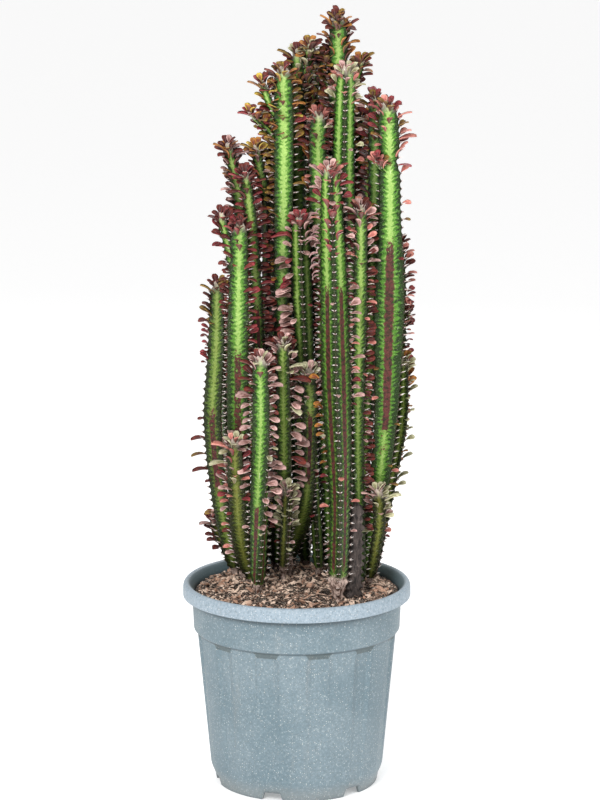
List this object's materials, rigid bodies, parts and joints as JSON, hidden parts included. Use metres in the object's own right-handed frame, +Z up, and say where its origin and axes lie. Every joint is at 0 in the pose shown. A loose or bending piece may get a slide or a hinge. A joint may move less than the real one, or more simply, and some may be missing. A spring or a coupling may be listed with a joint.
{
  "type": "potted euphorbia",
  "caption": "Clump of upright three-ribbed euphorbia stems with spines and small leaves, growing in bark soil in a fluted nursery pot with a rolled rim.",
  "frame": {"origin": "centre of the pot on the floor it stands on", "axes": "+Z up along the pot's axis and the stems, -Y towards the front as pictured, +X to the viewer's right"},
  "size_m": [0.3553, 0.3485, 1.1923],
  "materials": {
    "pot_plastic": "satin",
    "bark_soil": "matte",
    "dead_cork": "matte",
    "stem_skin": "satin"
  },
  "bodies": {
    "root": {"pot": "pot_plastic", "soil": "bark_soil", "dead_stump": "dead_cork", "stem_left_front": "stem_skin", "stem_left_outer": "stem_skin", "stem_low_left": "stem_skin", "stem_front_left": "stem_skin", "stem_front_middle": "stem_skin", "stem_low_middle": "stem_skin", "stem_thin_middle": "stem_skin", "stem_front_right": "stem_skin", "stem_tall_right": "stem_skin", "stem_right_outer": "stem_skin", "stem_low_right": "stem_skin", "stem_middle": "stem_skin", "stem_tall_middle": "stem_skin", "stem_tall_left": "stem_skin", "stem_inner_right": "stem_skin", "stem_rear_right": "stem_skin", "stem_thin_right": "stem_skin", "stem_slim_right": "stem_skin", "stem_left_inner": "stem_skin", "stem_tallest": "stem_skin", "stem_edge_low": "stem_skin", "stem_edge_tall": "stem_skin", "stem_base_left": "stem_skin", "stem_forked_left": "stem_skin", "stem_leaning_left": "stem_skin", "stem_back_left": "stem_skin", "stem_back_left_tall": "stem_skin", "stem_back_middle": "stem_skin", "stem_back_tall": "stem_skin", "stem_back_right": "stem_skin", "stem_back_right_outer": "stem_skin", "stem_back_low": "stem_skin"}
  },
  "joints": []
}
